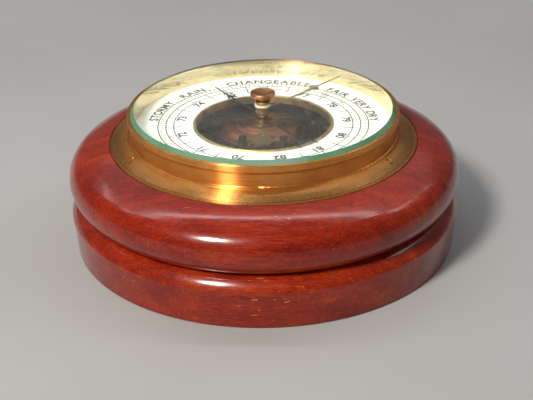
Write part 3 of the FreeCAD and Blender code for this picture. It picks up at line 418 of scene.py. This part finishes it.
def black_lacquer():
    """Dull black lacquer inside the movement's can, with dust and rubbed patches."""
    material, tree = new_material("black_lacquer")
    dust = noise(tree, (400, 400, 400), 6.0, 0.7)
    colour = ramp(tree, dust, [
        (0.35, rgb(62, 55, 48)),
        (0.62, rgb(96, 86, 74)),
        (0.80, rgb(140, 126, 108)),
    ])
    surface(tree, Base_Color=colour, Roughness=from_noise(tree, dust, 0.4, 0.75),
            Normal=bump(tree, dust, 0.1, 0.1 * MM))
    return material


def fibre_washer():
    """Hard pale greenish fibre, faintly mottled and grimy."""
    material, tree = new_material("fibre_washer")
    cloud = noise(tree, (500, 500, 500), 5.0, 0.65)
    colour = ramp(tree, cloud, [(0.32, rgb(186, 190, 150)), (0.60, rgb(228, 234, 204))])
    surface(tree, Base_Color=colour, Roughness=from_noise(tree, cloud, 0.25, 0.5),
            Normal=bump(tree, cloud, 0.06, 0.1 * MM))
    return material


def pale_floor():
    """Plain pale grey, very slightly clouded."""
    material, tree = new_material("pale_floor")
    cloud = noise(tree, (6, 6, 6), 3.0, 0.5)
    colour = ramp(tree, cloud, [(0.3, rgb(166, 165, 163)), (0.7, rgb(174, 173, 171))])
    surface(tree, Base_Color=colour, Roughness=0.7)
    return material


def plain_metals():
    """Every metal without a finish of its own: dark and light colour, low and high roughness, turned."""
    rows = (
        ("bright_brass", (168, 112, 76), (222, 168, 120), 0.28, 0.46, True),
        ("movement_brass", (120, 98, 56), (176, 146, 88), 0.28, 0.50, False),
        ("copper_capsule", (122, 76, 54), (170, 112, 80), 0.40, 0.60, True),
        ("blued_steel", (38, 46, 66), (66, 78, 100), 0.15, 0.32, False),
        ("bright_steel", (150, 148, 142), (206, 204, 198), 0.18, 0.36, False),
        ("dark_steel", (50, 44, 38), (96, 84, 70), 0.35, 0.55, False),
        ("zinc_plate", (138, 140, 140), (176, 178, 178), 0.35, 0.55, False),
        ("pale_brass", (150, 134, 90), (206, 186, 132), 0.30, 0.50, True),
    )
    return {name: metal(name, rgb(*dark), rgb(*light), smooth, dull, turned)
            for name, dark, light, smooth, dull, turned in rows}


# Finish of each of the record's material slots, and three finishes that have no slot.
MATERIALS = plain_metals()
MATERIALS.update({
    "mahogany": mahogany(),
    "aged_brass": spun_brass(),
    "gilt": gilt(),
    "dial_white": enamel_white(),
    "black_tin": black_lacquer(),
    "fibre_washer": fibre_washer(),
    "clear_glass": clear_glass(),
    "bevel_glass": bevel_glass(),
    "ink": ink(),
})
PALE_PIECES = ("set_hand", "dial_ring")


# ---- finishes on the CAD pieces ----------------------------------------------------------------

def dress_frame():
    """Every carried-over piece gets its slot's finish, smooth shading and sharp real edges."""
    for part in frame["record"]["subparts"]:
        mesh = NODES[part["node"]].data
        mesh.materials.clear()
        mesh.materials.append(MATERIALS[part["material_slot"]])
        mesh.shade_smooth()
        mesh.set_sharp_from_angle(angle=SHARP_ANGLE)


def dress_pale_brass():
    """The set hand and the ring round the dial's opening are paler than the other brass."""
    for name in PALE_PIECES:
        NODES[name].data.materials[0] = MATERIALS["pale_brass"]


def dress_glass_bevel():
    """The ground bevel and the edge of the glass show the green of its depth."""
    mesh = NODES["glass"].data
    mesh.materials.append(MATERIALS["bevel_glass"])
    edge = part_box("glass")[1].x - BEVEL_WIDTH
    for face in mesh.polygons:
        outside = math.hypot(face.center.x, face.center.y) > edge
        if outside and abs(face.normal.z) < BEVEL_FACE_LIMIT:
            face.material_index = 1


def dress_lower_washer():
    """The washer under the glass is brass; the one above it is fibre."""
    mesh = NODES["knob_washers"].data
    mesh.materials.append(MATERIALS["bright_brass"])
    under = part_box("glass")[1].z - LOWER_WASHER_DEPTH
    for face in mesh.polygons:
        if face.center.z < under:
            face.material_index = 1


# ---- dial print --------------------------------------------------------------------------------

# Middle of the print above the dial's face, and its thickness.
PRINT_LIFT = 0.02 * MM
PRINT_DEPTH = 0.03 * MM


def print_on_dial(name, build):
    """Turns a bmesh of dial print into an inked piece that rides on the case."""
    mesh = bpy.data.meshes.new(name)
    build.to_mesh(mesh)
    build.free()
    mesh.materials.append(MATERIALS["ink"])
    item = bpy.data.objects.new(name, mesh)
    bpy.context.scene.collection.objects.link(item)
    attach(item, "case")


def add_ring(build, inner, outer, low, high):
    """Flat ring of rectangular section."""
    section = ((inner, low), (outer, low), (outer, high), (inner, high))
    loops = []
    for step in range(RING_STEPS):
        angle = 2 * math.pi * step / RING_STEPS
        loops.append([build.verts.new((r * math.cos(angle), r * math.sin(angle), z)) for r, z in section])
    for here, there in zip(loops, loops[1:] + loops[:1]):
        for side in range(len(section)):
            other = (side + 1) % len(section)
            build.faces.new((here[side], here[other], there[other], there[side]))


def add_tick(build, angle, inner, outer, width, low, high):
    """Radial bar at an angle in degrees."""
    turn = Matrix.Rotation(math.radians(angle), 4, "Z")
    corners = []
    for z in (low, high):
        for r, side in ((inner, -0.5), (outer, -0.5), (outer, 0.5), (inner, 0.5)):
            corners.append(build.verts.new(turn @ Vector((r, side * width, z))))
    for face in ((3, 2, 1, 0), (4, 5, 6, 7), (0, 1, 5, 4), (1, 2, 6, 5), (2, 3, 7, 6), (3, 0, 4, 7)):
        build.faces.new([corners[index] for index in face])


def glyph_mesh(text, size, swell):
    """Mesh of a short text lying flat, its middle at the origin; size and swell are millimetres."""
    curve = bpy.data.curves.new("glyph", "FONT")
    curve.body = text
    curve.size = size * MM
    curve.align_x = "CENTER"
    curve.align_y = "CENTER"
    curve.extrude = PRINT_DEPTH / 2
    curve.offset = swell * MM
    curve.resolution_u = 4
    item = bpy.data.objects.new("glyph", curve)
    bpy.context.scene.collection.objects.link(item)
    bpy.context.view_layer.update()
    evaluated = item.evaluated_get(bpy.context.evaluated_depsgraph_get())
    mesh = bpy.data.meshes.new_from_object(evaluated)
    bpy.data.objects.remove(item)
    bpy.data.curves.remove(curve)
    return mesh


def add_glyph(build, text, size, swell, angle, radius, height):
    """Sets a text on the dial, its top outward, at an angle in degrees and a radius in millimetres."""
    mesh = glyph_mesh(text, size, swell)
    turn = Matrix.Rotation(math.radians(angle - 90), 4, "Z")
    mesh.transform(turn @ Matrix.Translation((0, radius * MM, height)))
    build.from_mesh(mesh)
    bpy.data.meshes.remove(mesh)


def number_angle(value):
    return 90.0 - (value - TOP_NUMBER) * STEP_ANGLE


def dial_scale():
    """Three circles, fine divisions between the outer two, and a long stroke half-way between numbers."""
    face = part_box("dial")[1].z
    low = face + PRINT_LIFT - PRINT_DEPTH / 2
    high = face + PRINT_LIFT + PRINT_DEPTH / 2
    build = bmesh.new()
    for radius in (SCALE_OUTER, SCALE_MIDDLE, SCALE_INNER):
        add_ring(build, (radius - BOLD_LINE / 2) * MM, (radius + BOLD_LINE / 2) * MM, low, high)
    count = (HIGHEST_NUMBER - LOWEST_NUMBER) * TICKS_PER_NUMBER
    for step in range(count + 1):
        angle = number_angle(LOWEST_NUMBER + step / TICKS_PER_NUMBER)
        add_tick(build, angle, SCALE_MIDDLE * MM, SCALE_OUTER * MM, FINE_LINE * MM, low, high)
        if step % TICKS_PER_NUMBER == 0:
            add_tick(build, angle, SCALE_INNER * MM, SCALE_MIDDLE * MM, BOLD_LINE * MM, low, high)
        elif step % (TICKS_PER_NUMBER // 2) == 0:
            add_tick(build, angle, HALF_STROKE * MM, SCALE_MIDDLE * MM, BOLD_LINE * MM, low, high)
    print_on_dial("dial_scale", build)


def dial_numbers():
    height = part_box("dial")[1].z + PRINT_LIFT
    build = bmesh.new()
    for value in range(LOWEST_NUMBER, HIGHEST_NUMBER + 1):
        add_glyph(build, str(value), NUMBER_SIZE, NUMBER_SWELL, number_angle(value), NUMBER_RADIUS, height)
    print_on_dial("dial_numbers", build)


# Each plain weather word with the angles where it starts and ends, degrees.
WORDS = (
    ("STORMY", 178.0, 151.0),
    ("RAIN", 144.0, 127.0),
    ("CHANGEABLE", 114.0, 66.0),
    ("FAIR", 55.0, 40.0),
    ("VERY DRY", 36.0, 3.0),
)
LETTER_GAP = 0.9 * MM
SPACE_WIDTH = 2.0 * MM


def letter_width(letter):
    if letter == " ":
        return SPACE_WIDTH
    mesh = glyph_mesh(letter, WORD_SIZE, WORD_SWELL)
    across = [vertex.co.x for vertex in mesh.vertices]
    bpy.data.meshes.remove(mesh)
    return max(across) - min(across)


def dial_words():
    """Weather words, one letter at a time round the dial."""
    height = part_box("dial")[1].z + PRINT_LIFT
    build = bmesh.new()
    for word, first, last in WORDS:
        widths = [letter_width(letter) + LETTER_GAP for letter in word]
        share = (first - last) / sum(widths)
        angle = first
        for letter, width in zip(word, widths):
            if letter != " ":
                add_glyph(build, letter, WORD_SIZE, WORD_SWELL, angle - width * share / 2, WORD_RADIUS,
                          height)
            angle -= width * share
    print_on_dial("dial_words", build)


# ---- stage, light and camera -------------------------------------------------------------------

def direction(azimuth, elevation):
    """Unit vector towards an azimuth and elevation; azimuth 0 is the reader's side, -Y."""
    a, e = math.radians(azimuth), math.radians(elevation)
    return Vector((math.sin(a) * math.cos(e), -math.cos(a) * math.cos(e), math.sin(e)))


def floor():
    build = bmesh.new()
    bmesh.ops.create_grid(build, x_segments=1, y_segments=1, size=FLOOR_SIZE)
    mesh = bpy.data.meshes.new("floor")
    build.to_mesh(mesh)
    build.free()
    mesh.materials.append(pale_floor())
    item = bpy.data.objects.new("floor", mesh)
    item.location.z = -FLOOR_DROP
    bpy.context.scene.collection.objects.link(item)


def area_light(name, spot, facing, size, power, colour, shape):
    """Soft lamp at a spot, turned to face a point; size is (across, along)."""
    lamp = bpy.data.lights.new(name, "AREA")
    lamp.shape = shape
    lamp.size, lamp.size_y = size
    lamp.energy = power
    lamp.color = colour
    item = bpy.data.objects.new(name, lamp)
    item.location = spot
    item.rotation_euler = (spot - facing).to_track_quat("Z", "Y").to_euler()
    bpy.context.scene.collection.objects.link(item)


def studio_world():
    """Dim grey room, a little lighter overhead than at the sides."""
    world = bpy.data.worlds.new("studio")
    bpy.context.scene.world = world
    world.use_nodes = True
    tree = world.node_tree
    way = node(tree, "TexCoord").outputs["Generated"]
    height = node(tree, "SeparateXYZ", Vector=way).outputs[2]
    shade = ramp(tree, spread(tree, height, 0.0, 1.0, -0.2, 1.0), [
        (0.0, (0.26, 0.26, 0.26, 1)),
        (0.25, (0.34, 0.34, 0.35, 1)),
        (1.0, (0.40, 0.42, 0.46, 1)),
    ])
    backdrop = tree.nodes["Background"]
    tree.links.new(shade, backdrop.inputs["Color"])
    backdrop.inputs["Strength"].default_value = WORLD_STRENGTH


def lights():
    key_spot = direction(KEY_AZIMUTH, KEY_ELEVATION) * KEY_DISTANCE
    area_light("key", key_spot, OBJECT_MIDDLE, KEY_SIZE, KEY_POWER, KEY_COLOUR, "DISK")
    for name, (x, y), size, power, colour in HUNG_LAMPS:
        area_light(name, Vector((x, y, LAMP_HEIGHT)), Vector((x, y, 0)), size, power, colour, "RECTANGLE")
    studio_world()
    bpy.context.scene.view_settings.view_transform = "Standard"


def camera():
    lens = bpy.data.cameras.new("camera")
    lens.lens = LENS
    lens.sensor_width = SENSOR_WIDTH
    lens.clip_start = NEAR_CLIP
    item = bpy.data.objects.new("camera", lens)
    back = direction(VIEW_AZIMUTH, VIEW_ELEVATION)
    right = Vector((0, 0, 1)).cross(back).normalized()
    up = back.cross(right)
    roll = math.radians(VIEW_ROLL)
    across = right * math.cos(roll) + up * math.sin(roll)
    upward = up * math.cos(roll) - right * math.sin(roll)
    spot = VIEW_TARGET + back * VIEW_DISTANCE
    axes = Matrix((across, upward, back)).transposed().to_4x4()
    item.matrix_world = Matrix.Translation(spot) @ axes
    bpy.context.scene.collection.objects.link(item)
    bpy.context.scene.camera = item


dress_frame()
dress_pale_brass()
dress_glass_bevel()
dress_lower_washer()
dial_scale()
dial_numbers()
dial_words()
floor()
lights()
camera()
